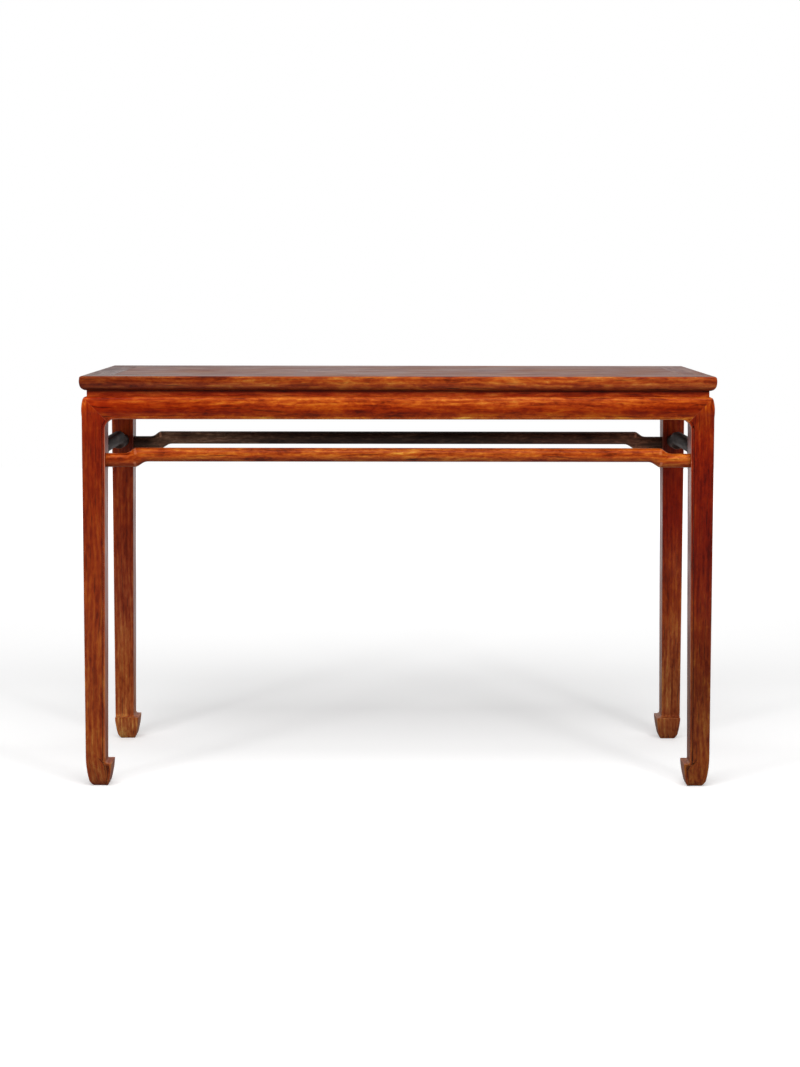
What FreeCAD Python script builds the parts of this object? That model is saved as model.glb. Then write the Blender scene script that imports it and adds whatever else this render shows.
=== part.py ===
import FreeCAD, Part

import math
import os

import Sketcher
from types import SimpleNamespace

# Waisted side table with corner legs: a mitred top frame round a floating panel, a recessed waist,
# plain aprons with a bead, humpback stretchers and square legs that end in hoof feet.
#
# The table stands on the floor at height zero, under the middle of its top. X runs along the
# length, Y along the depth with the front at the low side, and Z is up. Millimetres.
#
# The top frame is drawn from the edges of the top. Everything below it is drawn from the outer
# faces of the legs. "Inward" is the way from such a face, or from the end of a side, to the middle.

DIMENSIONS = {
    # Whole table
    "table_length": 1270.0,
    "table_depth": 450.0,
    "table_height": 833.0,
    "fit_gap": 0.2,
    "spare": 6.0,
    # Top frame: its section, then the mitred tenons at its corners
    "frame_width": 62.0,
    "frame_thickness": 29.0,
    "arris_inset": 4.2,
    "arris_drop": 4.5,
    "arris_lean": 0.5,
    "arris_swell": 0.8,
    "belly_drop": 20.0,
    "belly_inset": 1.3,
    "under_inset": 12.5,
    "under_swell": 1.5,
    "frame_tenon_width": 30.0,
    "frame_tenon_thickness": 9.0,
    "frame_tenon_drop": 10.0,
    "frame_tenon_edge": 12.0,
    "frame_tenon_cover": 15.0,
    # Floating panel and the braces under it
    "panel_thickness": 13.0,
    "panel_gap": 0.4,
    "tongue_thickness": 6.0,
    "tongue_length": 7.0,
    "groove_depth": 8.5,
    "brace_width": 32.0,
    "brace_depth": 14.5,
    "dovetail_height": 3.5,
    "dovetail_neck": 18.0,
    "dovetail_head": 22.0,
    "brace_tenon_width": 22.0,
    "brace_tenon_thickness": 8.0,
    "brace_tenon_length": 14.0,
    # Waist
    "waist_setback": 9.5,
    "waist_thickness": 10.5,
    "waist_height": 12.2,
    "waist_tongue_inset": 1.0,
    "waist_tongue_thickness": 2.8,
    "waist_tongue_height": 3.0,
    "waist_tongue_stop": 22.0,
    # Aprons
    "leg_setback": 3.7,
    "apron_height": 45.0,
    "apron_thickness": 20.0,
    "shoulder_reach": 9.3,
    "shoulder_drop": 5.5,
    "shoulder_lean": 1.8,
    "shoulder_swell": 1.0,
    "face_swell": 1.5,
    "corner_radius": 20.0,
    "bead_width": 5.2,
    "bead_relief": 1.0,
    # Mitred joint between apron and leg: a tongue in the mitre, a dovetail pin behind it
    "ear_tongue_start": 22.0,
    "ear_tongue_end": 42.0,
    "ear_tongue_reach": 10.0,
    "ear_tongue_inset": 8.0,
    "ear_tongue_thickness": 7.0,
    "pin_neck": 9.0,
    "pin_head": 12.0,
    "pin_height": 4.0,
    "pin_center": 33.0,
    "pin_top_cover": 3.0,
    # Legs: widths, then the hoof from its toe down to the floor
    "leg_width": 46.5,
    "ankle_width": 40.0,
    "cove_radius": 5.5,
    "toe_reach": 52.0,
    "toe_height": 48.0,
    "toe_swell": 1.0,
    "hoof_height": 62.0,
    "hoof_swell": 1.4,
    "sole_height": 11.0,
    "sole_outer": 5.6,
    "sole_inner": 46.8,
    "sole_swell": 0.9,
    "floor_outer": 13.0,
    "floor_inner": 42.5,
    "top_tenon_width": 10.0,
    "top_tenon_edge": 1.5,
    "long_tenon_height": 17.0,
    "short_tenon_height": 8.5,
    # Humpback stretchers
    "stretcher_drop": 156.2,
    "stretcher_height": 27.6,
    "stretcher_thickness": 28.0,
    "stretcher_setback": 9.0,
    "stretcher_round": 12.6,
    "side_stretcher_lift": 7.0,
    "hump_rise": 11.0,
    "hump_height": 27.7,
    "hollow_radius": 20.0,
    "upper_slope_start": 41.5,
    "upper_slope_run": 14.5,
    "lower_slope_start": 60.0,
    "lower_slope_run": 17.0,
    "stretcher_tenon_length": 15.0,
    "stretcher_tenon_height": 17.0,
    "stretcher_tenon_thickness": 9.0,
    # Keys that hang the aprons and the waist on the frame
    "key_neck": 14.0,
    "key_head": 17.0,
    "key_slot_depth": 4.0,
    "key_back": 4.0,
    "key_apron_cover": 12.0,
    "key_frame_reach": 8.0,
}

# Where the braces and the keys stand from the middle, as shares of the length or the depth
BRACE_SHARES = {"left": -0.27, "middle": 0, "right": 0.27}
LONG_SIDE_KEY_SHARES = (-0.3, 0, 0.3)
SHORT_SIDE_KEY_SHARES = (0,)

# Points on a quarter round as shares of its radius: at its half, and at its quarters
HALF_SHARE = math.cos(math.pi / 4)
LONG_SHARE = math.cos(math.pi / 8)
SHORT_SHARE = math.sin(math.pi / 8)

LOW_END = -1
HIGH_END = 1
END_NAMES = {LOW_END: "low", HIGH_END: "high"}

doc = FreeCAD.newDocument("SideTable")


class Size:
    """A length that keeps its number together with the formula on the sheet that gives it."""

    def __init__(self, number, formula):
        self.number = number
        self.formula = formula

    def __add__(self, other):
        return Size(self.number + other.number, f"({self.formula} + {other.formula})")

    def __sub__(self, other):
        return Size(self.number - other.number, f"({self.formula} - {other.formula})")

    def __mul__(self, share):
        if isinstance(share, Size):
            return Size(self.number * share.number, f"({self.formula} * {share.formula})")
        return Size(self.number * share, f"({self.formula} * ({share:.9f}))")

    def __truediv__(self, share):
        if isinstance(share, Size):
            return Size(self.number / share.number, f"({self.formula} / {share.formula})")
        return Size(self.number / share, f"({self.formula} / {share})")

    def __neg__(self):
        return self * -1


ZERO = Size(0, "0")


def make_sheet():
    """Write the driving dimensions on a sheet, and return them as sizes by name."""
    sheet = doc.addObject("Spreadsheet::Sheet", "Sizes")
    sizes = {}
    for row, (name, value) in enumerate(DIMENSIONS.items(), start=1):
        sheet.set(f"A{row}", name)
        sheet.set(f"B{row}", str(value))
        sheet.setAlias(f"B{row}", name)
        sizes[name] = Size(value, f"Sizes.{name}")
    doc.recompute()
    return SimpleNamespace(**sizes)


size = make_sheet()

# Heights and lines that several pieces share
frame_under = size.table_height - size.frame_thickness
apron_top = frame_under - size.waist_height
apron_low = apron_top - size.apron_height
panel_under = size.table_height - size.panel_thickness
waist_back = size.waist_setback + size.waist_thickness
corner_low = apron_low - size.corner_radius
ankle_height = size.toe_height + size.cove_radius


class Through:
    """A point that an arc passes on its way from one corner of an outline to the next."""

    def __init__(self, across, up):
        self.place = (across, up)


def middle(first, second):
    return (first + second) / 2


def rectangle(left, low, right, high):
    return [(left, low), (right, low), (right, high), (left, high)]


def backwards(outline):
    return outline[::-1]


def redrawn(outline, change):
    """The same outline with each of its points put through a change of coordinates."""
    points = []
    for item in outline:
        if isinstance(item, Through):
            points.append(Through(*change(*item.place)))
        else:
            points.append(change(*item))
    return points


# Sketches and features


def new_body(label):
    body = doc.addObject("PartDesign::Body", label)
    body.Label = label
    return body


def origin_plane(body, name):
    for feature in body.Origin.OriginFeatures:
        if feature.Role == f"{name}_Plane":
            return feature
    raise ValueError(f"no origin plane {name}")


def fix_point(sketch, edge, end, place):
    """Tie one end of an edge to its place, measured from the origin of the sketch."""
    for rule, axis, length in (("DistanceX", -2, place[0]), ("DistanceY", -1, place[1])):
        if length is ZERO:
            sketch.addConstraint(Sketcher.Constraint("PointOnObject", edge, end, axis))
        else:
            tie = Sketcher.Constraint(rule, -1, 1, edge, end, length.number)
            index = sketch.addConstraint(tie)
            sketch.setExpression(f"Constraints[{index}]", length.formula)


def as_vector(place):
    return FreeCAD.Vector(place[0].number, place[1].number, 0)


def draw_outline(sketch, outline):
    """Draw a closed outline of lines and arcs, and tie every corner of it to the sheet."""
    corners = []
    passing = {}
    for item in outline:
        if isinstance(item, Through):
            passing[len(corners)] = item.place
        else:
            corners.append(item)
    edges = []
    for index, corner in enumerate(corners):
        start = as_vector(corners[index - 1])
        finish = as_vector(corner)
        if index in passing:
            mark = as_vector(passing[index])
            edge = sketch.addGeometry(Part.Arc(start, mark, finish), False)
            dot = sketch.addGeometry(Part.Point(mark), True)
            fix_point(sketch, dot, 1, passing[index])
            sketch.addConstraint(Sketcher.Constraint("PointOnObject", dot, 1, edge))
        else:
            edge = sketch.addGeometry(Part.LineSegment(start, finish), False)
        first = sketch.getPoint(edge, 1)
        turned = first.distanceToPoint(start) > first.distanceToPoint(finish)
        edges.append((edge, 2, 1) if turned else (edge, 1, 2))
    for index, corner in enumerate(corners):
        edge, _, end = edges[index]
        following, begin, _ = edges[(index + 1) % len(edges)]
        fix_point(sketch, edge, end, corner)
        sketch.addConstraint(Sketcher.Constraint("Coincident", edge, end, following, begin))


# Whether an origin plane faces up or down its axis
FACING = {"XY": 1, "XZ": -1, "YZ": 1}


def new_sketch(body, name, plane, outline, place):
    """A closed outline on an origin plane of a body, moved to a place on the axis it faces."""
    sketch = body.newObject("Sketcher::SketchObject", f"{name}_sketch")
    sketch.AttachmentSupport = [(origin_plane(body, plane), "")]
    sketch.MapMode = "FlatFace"
    offset = place * FACING[plane]
    lift = FreeCAD.Vector(0, 0, offset.number)
    sketch.AttachmentOffset = FreeCAD.Placement(lift, FreeCAD.Rotation())
    sketch.setExpression("AttachmentOffset.Base.z", offset.formula)
    draw_outline(sketch, outline)
    return sketch


def add_solid(body, name, plane, outline, first, second):
    """Pad an outline between two places on the axis that its plane faces."""
    low, high = sorted((first, second), key=lambda place: place.number)
    start = low if FACING[plane] > 0 else high
    pad = body.newObject("PartDesign::Pad", name)
    pad.Profile = new_sketch(body, name, plane, outline, start)
    pad.setExpression("Length", (high - low).formula)
    body.Tip = pad
    return pad


def cut_away(body, name, plane, outline, first, second):
    """Pocket an outline between two places on the axis that its plane faces."""
    low, high = sorted((first, second), key=lambda place: place.number)
    start = high if FACING[plane] > 0 else low
    pocket = body.newObject("PartDesign::Pocket", name)
    pocket.Profile = new_sketch(body, name, plane, outline, start)
    pocket.setExpression("Length", (high - low).formula)
    body.Tip = pocket
    return pocket


def round_edges(body, name, radius, chosen):
    """Fillet those edges of a body that a test picks by their ends."""
    doc.recompute()
    base = body.Tip
    names = []
    for number, edge in enumerate(base.Shape.Edges, start=1):
        first, last = edge.firstVertex().Point, edge.lastVertex().Point
        if chosen(first, last):
            names.append(f"Edge{number}")
    fillet = body.newObject("PartDesign::Fillet", name)
    fillet.Base = (base, names)
    fillet.setExpression("Radius", radius.formula)
    body.Tip = fillet
    return fillet


class Side:
    """One side of the table, with its outer face a given inset inside the edge of the top.

    A place on it is given along the side and across it, inward from its outer face. Along the
    side it counts from the middle, or inward from the low or the high end.
    """

    def __init__(self, name, is_long, facing, inset):
        self.name = name
        self.is_long = is_long
        self.facing = facing
        half_length = size.table_length / 2 - inset
        half_depth = size.table_depth / 2 - inset
        self.half_run = half_length if is_long else half_depth
        self.half_span = half_depth if is_long else half_length
        self.elevation_plane = "XZ" if is_long else "YZ"
        self.section_plane = "YZ" if is_long else "XZ"

    def along(self, end, inward):
        return (self.half_run - inward) * end

    def across(self, inward):
        return (self.half_span - inward) * self.facing

    def elevation(self, end, outline):
        """An outline given inward from one end, and by height."""
        return redrawn(outline, lambda inward, height: (self.along(end, inward), height))

    def section(self, outline):
        """An outline given inward from the face, and by height."""
        return redrawn(outline, lambda inward, height: (self.across(inward), height))

    def plan(self, outline):
        """An outline given along the side from its middle, and inward from the face."""
        if self.is_long:
            return redrawn(outline, lambda place, inward: (place, self.across(inward)))
        return redrawn(outline, lambda place, inward: (self.across(inward), place))

    def end_plan(self, end, outline):
        """An outline given inward from one end, and inward from the face."""
        return self.plan(self.elevation(end, outline))


def four_sides(inset):
    return {
        "front": Side("front", True, LOW_END, inset),
        "back": Side("back", True, HIGH_END, inset),
        "left": Side("left", False, LOW_END, inset),
        "right": Side("right", False, HIGH_END, inset),
    }


top_sides = four_sides(ZERO)
leg_sides = four_sides(size.leg_setback)


def end_mitre(width):
    """What a mitre takes off the end of a piece, inward from its end and from its face."""
    far = width + size.spare
    return [(-size.spare, -size.spare), (far, far), (-size.spare, far)]


# Keys: dovetail strips behind the waist and the aprons


def key_places(side):
    shares = LONG_SIDE_KEY_SHARES if side.is_long else SHORT_SIDE_KEY_SHARES
    run = size.table_length if side.is_long else size.table_depth
    return [run * share for share in shares]


def key_plan(place, back, gap):
    """Section of a key: a dovetail in the slot, and a straight back behind the apron."""
    slot_face = size.apron_thickness
    slot_bottom = slot_face - size.key_slot_depth - gap
    half_neck = size.key_neck / 2 + gap
    half_head = size.key_head / 2 + gap
    return [
        (place - half_neck, back),
        (place - half_neck, slot_face),
        (place - half_head, slot_bottom),
        (place + half_head, slot_bottom),
        (place + half_neck, slot_face),
        (place + half_neck, back),
    ]


def make_keys():
    """All keys of the table, as separate solids of one group."""
    keys = []
    back = size.apron_thickness + size.key_back
    low = apron_low + size.key_apron_cover
    high = frame_under + size.key_frame_reach
    for side in leg_sides.values():
        for number, place in enumerate(key_places(side), start=1):
            key = new_body(f"key_{side.name}_{number}")
            plan = side.plan(key_plan(place, back, ZERO))
            add_solid(key, f"{key.Label}_strip", "XY", plan, low, high)
            keys.append(key)
    group = doc.addObject("Part::Compound", "apron_keys")
    group.Label = "apron_keys"
    group.Links = keys
    return group


def cut_key_slots(body, side, low, high):
    """Dovetail slots for the keys in the back of an apron or a waist strip."""
    back = size.apron_thickness + size.spare
    for number, place in enumerate(key_places(side), start=1):
        plan = side.plan(key_plan(place, back, size.fit_gap))
        cut_away(body, f"{body.Label}_key_slot_{number}", "XY", plan, low, high)


# Top frame, panel and braces


def frame_section():
    """Section of a frame member: its moulded edge outside, the groove for the panel inside."""
    arris_across = middle(size.arris_inset, size.arris_lean) - size.arris_swell
    arris_down = size.arris_drop / 2 - size.arris_swell
    under_across = middle(size.belly_inset, size.under_inset) - size.under_swell
    under_down = middle(size.belly_drop, size.frame_thickness) + size.under_swell
    groove_bottom = size.frame_width - size.groove_depth
    groove_low = size.panel_thickness
    groove_high = groove_low - size.tongue_thickness - size.fit_gap
    section = [
        (size.arris_inset, ZERO),
        Through(arris_across, arris_down),
        (size.arris_lean, size.arris_drop),
        Through(ZERO, middle(size.arris_drop, size.belly_drop)),
        (size.belly_inset, size.belly_drop),
        Through(under_across, under_down),
        (size.under_inset, size.frame_thickness),
        (size.frame_width, size.frame_thickness),
        (size.frame_width, groove_low),
        (groove_bottom, groove_low),
        (groove_bottom, groove_high),
        (size.frame_width, groove_high),
        (size.frame_width, ZERO),
    ]
    return redrawn(section, lambda inward, drop: (inward, size.table_height - drop))


def frame_tenon_range():
    """Where a frame tenon lies between the outer and the inner edge of a member."""
    high = size.frame_width - size.frame_tenon_edge
    return high - size.frame_tenon_width, high


def top_tenon_plan(gap):
    """A tenon on top of a leg, inward from the end of its side and from the face."""
    far = size.leg_width - size.top_tenon_edge
    near = size.apron_thickness + size.top_tenon_edge
    width = size.top_tenon_width
    return rectangle(far - width - gap, near - gap, far + gap, near + width + gap)


def waist_tongue_range(gap):
    """Where the tongues of a waist strip lie, inward from the outer face of the legs."""
    low = size.waist_setback + size.waist_tongue_inset
    return low - gap, low + size.waist_tongue_thickness + gap


def waist_tongue_plan(side, gap):
    low, high = waist_tongue_range(gap)
    stop = size.waist_tongue_stop - gap
    return side.plan(rectangle(side.along(LOW_END, stop), low, side.along(HIGH_END, stop), high))


def brace_tenon(place, gap):
    """A tenon of a brace in elevation, round the middle of its depth."""
    half_width = size.brace_tenon_width / 2 + gap
    half_thickness = size.brace_tenon_thickness / 2 + gap
    height = panel_under - size.brace_depth / 2
    return rectangle(place - half_width, height - half_thickness,
                     place + half_width, height + half_thickness)


def make_frame_member(name):
    """A long member with tenons, or a short rail with mortises, mitred at both ends."""
    side = top_sides[name]
    leg_side = leg_sides[name]
    body = new_body(f"top_frame_{name}")
    add_solid(body, f"{name}_member", side.section_plane, side.section(frame_section()),
              side.along(LOW_END, ZERO), side.along(HIGH_END, ZERO))
    tenon_high = size.table_height - size.frame_tenon_drop
    tenon_low = tenon_high - size.frame_tenon_thickness
    near, far = frame_tenon_range()
    for end, end_name in END_NAMES.items():
        mitre = side.end_plan(end, end_mitre(size.frame_width))
        cut_away(body, f"{name}_mitre_{end_name}", "XY", mitre,
                 frame_under - size.spare, size.table_height + size.spare)
        if side.is_long:
            tenon = rectangle(size.frame_tenon_cover, near, far, far)
            add_solid(body, f"{name}_tenon_{end_name}", "XY", side.end_plan(end, tenon),
                      tenon_low, tenon_high)
            leg_tenon_height = size.long_tenon_height
        else:
            gap = size.fit_gap
            mortise = rectangle(near - gap, size.frame_tenon_cover - gap, far + gap, far + gap)
            cut_away(body, f"{name}_mortise_{end_name}", "XY", side.end_plan(end, mortise),
                     tenon_low - gap, tenon_high + gap)
            leg_tenon_height = size.short_tenon_height
        cut_away(body, f"{name}_leg_mortise_{end_name}", "XY",
                 leg_side.end_plan(end, top_tenon_plan(size.fit_gap)),
                 frame_under - size.spare, frame_under + leg_tenon_height + size.fit_gap)
    cut_away(body, f"{name}_waist_groove", "XY", waist_tongue_plan(leg_side, size.fit_gap),
             frame_under - size.spare, frame_under + size.waist_tongue_height + size.fit_gap)
    half_head = size.key_head / 2 + size.fit_gap
    key_front = size.apron_thickness - size.key_slot_depth - size.fit_gap
    key_back = size.apron_thickness + size.key_back + size.fit_gap
    for number, place in enumerate(key_places(side), start=1):
        mortise = rectangle(place - half_head, key_front, place + half_head, key_back)
        cut_away(body, f"{name}_key_mortise_{number}", "XY", leg_side.plan(mortise),
                 frame_under - size.spare, frame_under + size.key_frame_reach + size.fit_gap)
    if side.is_long:
        mortise_end = size.frame_width - size.brace_tenon_length - size.fit_gap
        for brace_name, share in BRACE_SHARES.items():
            cut_away(body, f"{name}_brace_mortise_{brace_name}", "XZ",
                     brace_tenon(size.table_length * share, size.fit_gap),
                     side.across(mortise_end), side.across(size.frame_width + size.spare))
    return body


def make_panel():
    """The floating panel: flush with the frame, held by a tongue all round its lower half."""
    body = new_body("top_panel")
    edge = size.frame_width + size.panel_gap
    half_length = size.table_length / 2 - edge
    half_depth = size.table_depth / 2 - edge
    board = rectangle(-half_length, -half_depth, half_length, half_depth)
    add_solid(body, "panel_board", "XY", board, panel_under, size.table_height)
    reach = size.panel_gap + size.tongue_length
    tongue = rectangle(-half_length - reach, -half_depth - reach,
                       half_length + reach, half_depth + reach)
    add_solid(body, "panel_tongue", "XY", tongue, panel_under, panel_under + size.tongue_thickness)
    half_neck = size.dovetail_neck / 2 + size.fit_gap
    half_head = size.dovetail_head / 2 + size.fit_gap
    slot_top = panel_under + size.dovetail_height + size.fit_gap
    slot_end = size.table_depth / 2
    for brace_name, share in BRACE_SHARES.items():
        place = size.table_length * share
        slot = [
            (place - half_neck, panel_under - size.spare),
            (place + half_neck, panel_under - size.spare),
            (place + half_neck, panel_under),
            (place + half_head, slot_top),
            (place - half_head, slot_top),
            (place - half_neck, panel_under),
        ]
        cut_away(body, f"panel_slot_{brace_name}", "XZ", slot, -slot_end, slot_end)
    return body


def make_brace(brace_name):
    """A transverse brace on a sliding dovetail under the panel, tenoned into the long members."""
    body = new_body(f"panel_brace_{brace_name}")
    place = size.table_length * BRACE_SHARES[brace_name]
    low = panel_under - size.brace_depth
    high = panel_under + size.dovetail_height
    section = [
        (place - size.brace_width / 2, low),
        (place + size.brace_width / 2, low),
        (place + size.brace_width / 2, panel_under),
        (place + size.dovetail_neck / 2, panel_under),
        (place + size.dovetail_head / 2, high),
        (place - size.dovetail_head / 2, high),
        (place - size.dovetail_neck / 2, panel_under),
        (place - size.brace_width / 2, panel_under),
    ]
    half_span = size.table_depth / 2 - size.frame_width
    add_solid(body, f"brace_{brace_name}", "XZ", section, -half_span, half_span)
    tenon_end = half_span + size.brace_tenon_length
    for end, end_name in END_NAMES.items():
        add_solid(body, f"brace_{brace_name}_tenon_{end_name}", "XZ", brace_tenon(place, ZERO),
                  half_span * end / 2, tenon_end * end)
    return body


# Waist and aprons


def make_waist(name):
    """A plain strip between apron and frame, mitred in front of the legs, with two tongues."""
    side = leg_sides[name]
    body = new_body(f"waist_{name}")
    front, back = size.waist_setback, waist_back
    strip = [
        (side.along(LOW_END, front), front),
        (side.along(HIGH_END, front), front),
        (side.along(HIGH_END, back), back),
        (side.along(LOW_END, back), back),
    ]
    add_solid(body, f"waist_{name}_strip", "XY", side.plan(strip), apron_top, frame_under)
    add_solid(body, f"waist_{name}_tongues", "XY", waist_tongue_plan(side, ZERO),
              apron_top - size.waist_tongue_height, frame_under + size.waist_tongue_height)
    cut_key_slots(body, side, apron_top - size.spare, frame_under + size.spare)
    return body


def mitre_height(inward):
    """Height of the mitre between apron and leg: at half a right angle through the corner."""
    return apron_low + size.leg_width - inward


def corner_round(across_share, up_share, inset):
    """A point on the round between apron and leg, or on its parallel an inset further out."""
    radius = size.corner_radius + inset
    across = size.leg_width + size.corner_radius - radius * across_share
    return across, corner_low + radius * up_share


def apron_corner(inset):
    """The apron's part of the rounded corner, from the mitre to the straight lower edge."""
    return [
        corner_round(HALF_SHARE, HALF_SHARE, inset),
        Through(*corner_round(SHORT_SHARE, LONG_SHARE, inset)),
        (size.leg_width + size.corner_radius, apron_low + inset),
    ]


def leg_corner(inset):
    """The leg's part of the rounded corner, from its inner edge up to the mitre."""
    return [
        (size.leg_width - inset, corner_low),
        Through(*corner_round(LONG_SHARE, SHORT_SHARE, inset)),
        corner_round(HALF_SHARE, HALF_SHARE, inset),
    ]


def both_ends(side, half):
    """An elevation outline from one end to the other, the same at both."""
    return side.elevation(LOW_END, half) + side.elevation(HIGH_END, backwards(half))


def ear_tongue(gap):
    """The tongue in the mitre: the apron's end carried on below the mitre."""
    start = size.ear_tongue_start - gap
    end = size.ear_tongue_end + gap
    reach = size.ear_tongue_reach
    return [
        (start, mitre_height(start) + reach),
        (start, mitre_height(start) - reach - gap),
        (end, mitre_height(end) - reach - gap),
        (end, mitre_height(end) + reach),
    ]


def pin_plan(gap):
    """The dovetail pin on the leg's post, inward from the end of the side and from the face."""
    root = size.apron_thickness
    tip = root - size.pin_height - gap
    half_neck = size.pin_neck / 2 + gap
    half_head = size.pin_head / 2 + gap
    center = size.pin_center
    return [
        (center - half_neck, root + size.pin_height),
        (center - half_neck, root),
        (center - half_head, tip),
        (center + half_head, tip),
        (center + half_neck, root),
        (center + half_neck, root + size.pin_height),
    ]


def shoulder():
    """The slightly swelling face of an apron or a leg, and the rounded shoulder on top of it."""
    face_low = apron_low + size.bead_width
    face_high = apron_top - size.shoulder_drop
    round_across = middle(size.shoulder_lean, size.shoulder_reach) - size.shoulder_swell
    round_up = middle(face_high, apron_top) + size.shoulder_swell
    return [
        (ZERO, face_low),
        Through(size.shoulder_lean / 2 - size.face_swell, middle(face_low, face_high)),
        (size.shoulder_lean, face_high),
        Through(round_across, round_up),
        (size.shoulder_reach, apron_top),
    ]


def make_apron(name):
    """A straight apron with ears that are mitred to the legs, and to the next aprons."""
    side = leg_sides[name]
    body = new_body(f"apron_{name}")
    label = body.Label
    back = size.apron_thickness
    mitre_top = size.leg_width - size.apron_height
    half = [(mitre_top, apron_top)] + apron_corner(ZERO)
    add_solid(body, f"{label}_board", side.elevation_plane, both_ends(side, half),
              side.across(-size.face_swell), side.across(back))
    face_waste = [(size.shoulder_reach, apron_top + size.spare),
                  (-size.spare, apron_top + size.spare),
                  (-size.spare, corner_low),
                  (ZERO, corner_low)]
    cut_away(body, f"{label}_face", side.section_plane, side.section(shoulder() + face_waste),
             side.along(LOW_END, -size.spare), side.along(HIGH_END, -size.spare))
    bead = both_ends(side, apron_corner(ZERO))
    bead += backwards(both_ends(side, apron_corner(size.bead_width)))
    add_solid(body, f"{label}_bead", side.elevation_plane, bead,
              side.across(-size.bead_relief), side.across(size.bead_relief))
    for end, end_name in END_NAMES.items():
        cut_away(body, f"{label}_mitre_{end_name}", "XY", side.end_plan(end, end_mitre(back)),
                 corner_low, apron_top + size.spare)
        tongue_front = size.ear_tongue_inset
        add_solid(body, f"{label}_tongue_{end_name}", side.elevation_plane,
                  side.elevation(end, ear_tongue(ZERO)),
                  side.across(tongue_front), side.across(tongue_front + size.ear_tongue_thickness))
        cut_away(body, f"{label}_pin_slot_{end_name}", "XY",
                 side.end_plan(end, pin_plan(size.fit_gap)),
                 corner_low, apron_top - size.pin_top_cover + size.fit_gap)
    cut_away(body, f"{label}_waist_groove", "XY", waist_tongue_plan(side, size.fit_gap),
             apron_top - size.waist_tongue_height - size.fit_gap, apron_top + size.spare)
    cut_key_slots(body, side, apron_low + size.key_apron_cover, apron_top + size.spare)
    return body


# Legs


def outer_edge(proud):
    """The outer edge of a leg from the floor up to its shoulder, or its parallel outside it."""
    hoof_middle = middle(size.sole_height, size.hoof_height)
    hoof_across = size.sole_outer / 2 - size.hoof_swell
    sole_across = middle(size.sole_outer, size.floor_outer) - size.sole_swell
    edge = [
        (size.floor_outer, ZERO),
        Through(sole_across, size.sole_height / 2),
        (size.sole_outer, size.sole_height),
        Through(hoof_across, hoof_middle),
        (ZERO, size.hoof_height),
    ]
    return redrawn(edge, lambda inward, height: (inward - proud, height))


def inner_edge(inset):
    """The inner edge of a leg from the floor over the toe up to the round, or its parallel."""
    sole_across = middle(size.sole_inner, size.floor_inner) + size.sole_swell - inset
    toe_across = middle(size.sole_inner, size.toe_reach) + size.toe_swell - inset
    cove_center = size.ankle_width + size.cove_radius
    cove_reach = (size.cove_radius + inset) * HALF_SHARE
    return [
        (size.floor_inner - inset, ZERO),
        Through(sole_across, size.sole_height / 2),
        (size.sole_inner - inset, size.sole_height),
        Through(toe_across, middle(size.sole_height, size.toe_height)),
        (size.toe_reach - inset, size.toe_height - inset),
        (cove_center, size.toe_height - inset),
        Through(cove_center - cove_reach, ankle_height - cove_reach),
        (size.ankle_width - inset, ankle_height),
        (size.leg_width - inset, corner_low),
    ]


def leg_face(height):
    """How far the inner face of a leg lies from its outer face, at a height in its taper."""
    taper = size.leg_width - size.ankle_width
    return size.leg_width - taper * ((corner_low - height) / (corner_low - ankle_height))


def stretcher_center(side):
    """Height of the middle of a stretcher's end."""
    lift = ZERO if side.is_long else size.side_stretcher_lift
    return size.table_height - size.stretcher_drop - size.stretcher_height / 2 + lift


def stretcher_tenon(side, gap):
    """Section of a stretcher's tenon, inward from the face of the legs and by height."""
    center = size.stretcher_setback + size.stretcher_thickness / 2
    height = stretcher_center(side)
    half_thickness = size.stretcher_tenon_thickness / 2 + gap
    half_height = size.stretcher_tenon_height / 2 + gap
    return rectangle(center - half_thickness, height - half_height,
                     center + half_thickness, height + half_height)


def cut_leg_profile(body, side, end):
    """Give a leg the same profile across the side that its blank has along it."""
    outside = [
        (size.floor_outer, -size.spare),
        *outer_edge(ZERO),
        *shoulder(),
        (size.apron_thickness, apron_top),
        (size.apron_thickness, frame_under + size.spare),
        (-size.spare, frame_under + size.spare),
        (-size.spare, -size.spare),
    ]
    far = size.toe_reach + size.spare
    inside = [
        (size.floor_inner, -size.spare),
        *inner_edge(ZERO),
        (size.leg_width, frame_under + size.spare),
        (far, frame_under + size.spare),
        (far, -size.spare),
    ]
    for name, waste in (("outside", outside), ("inside", inside)):
        cut_away(body, f"{body.Label}_{name}", side.section_plane, side.section(waste),
                 side.along(end, -size.spare), side.along(end, far))


def shape_leg_joint(body, side, end):
    """Mitre, corner, tongue mortise and dovetail pin where a leg takes the apron of a side."""
    label = f"{body.Label}_{side.name}"
    plane = side.elevation_plane
    back = size.apron_thickness
    high = frame_under + size.spare
    far = size.leg_width + size.spare
    above_mitre = [(-size.spare, mitre_height(-size.spare)), (far, mitre_height(far)),
                   (far, high), (-size.spare, high)]
    cut_away(body, f"{label}_mitre", plane, side.elevation(end, above_mitre),
             side.across(-size.spare), side.across(back))
    corner = leg_corner(ZERO) + [(size.ankle_width, mitre_height(size.ankle_width)),
                                 (size.ankle_width, corner_low)]
    add_solid(body, f"{label}_corner", plane, side.elevation(end, corner),
              side.across(ZERO), side.across(back))
    gap = size.fit_gap
    tongue_front = size.ear_tongue_inset - gap
    tongue_back = size.ear_tongue_inset + size.ear_tongue_thickness + gap
    cut_away(body, f"{label}_tongue_mortise", plane, side.elevation(end, ear_tongue(gap)),
             side.across(tongue_front), side.across(tongue_back))
    add_solid(body, f"{label}_pin", "XY", side.end_plan(end, pin_plan(ZERO)),
              apron_low, apron_top - size.pin_top_cover)


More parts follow.
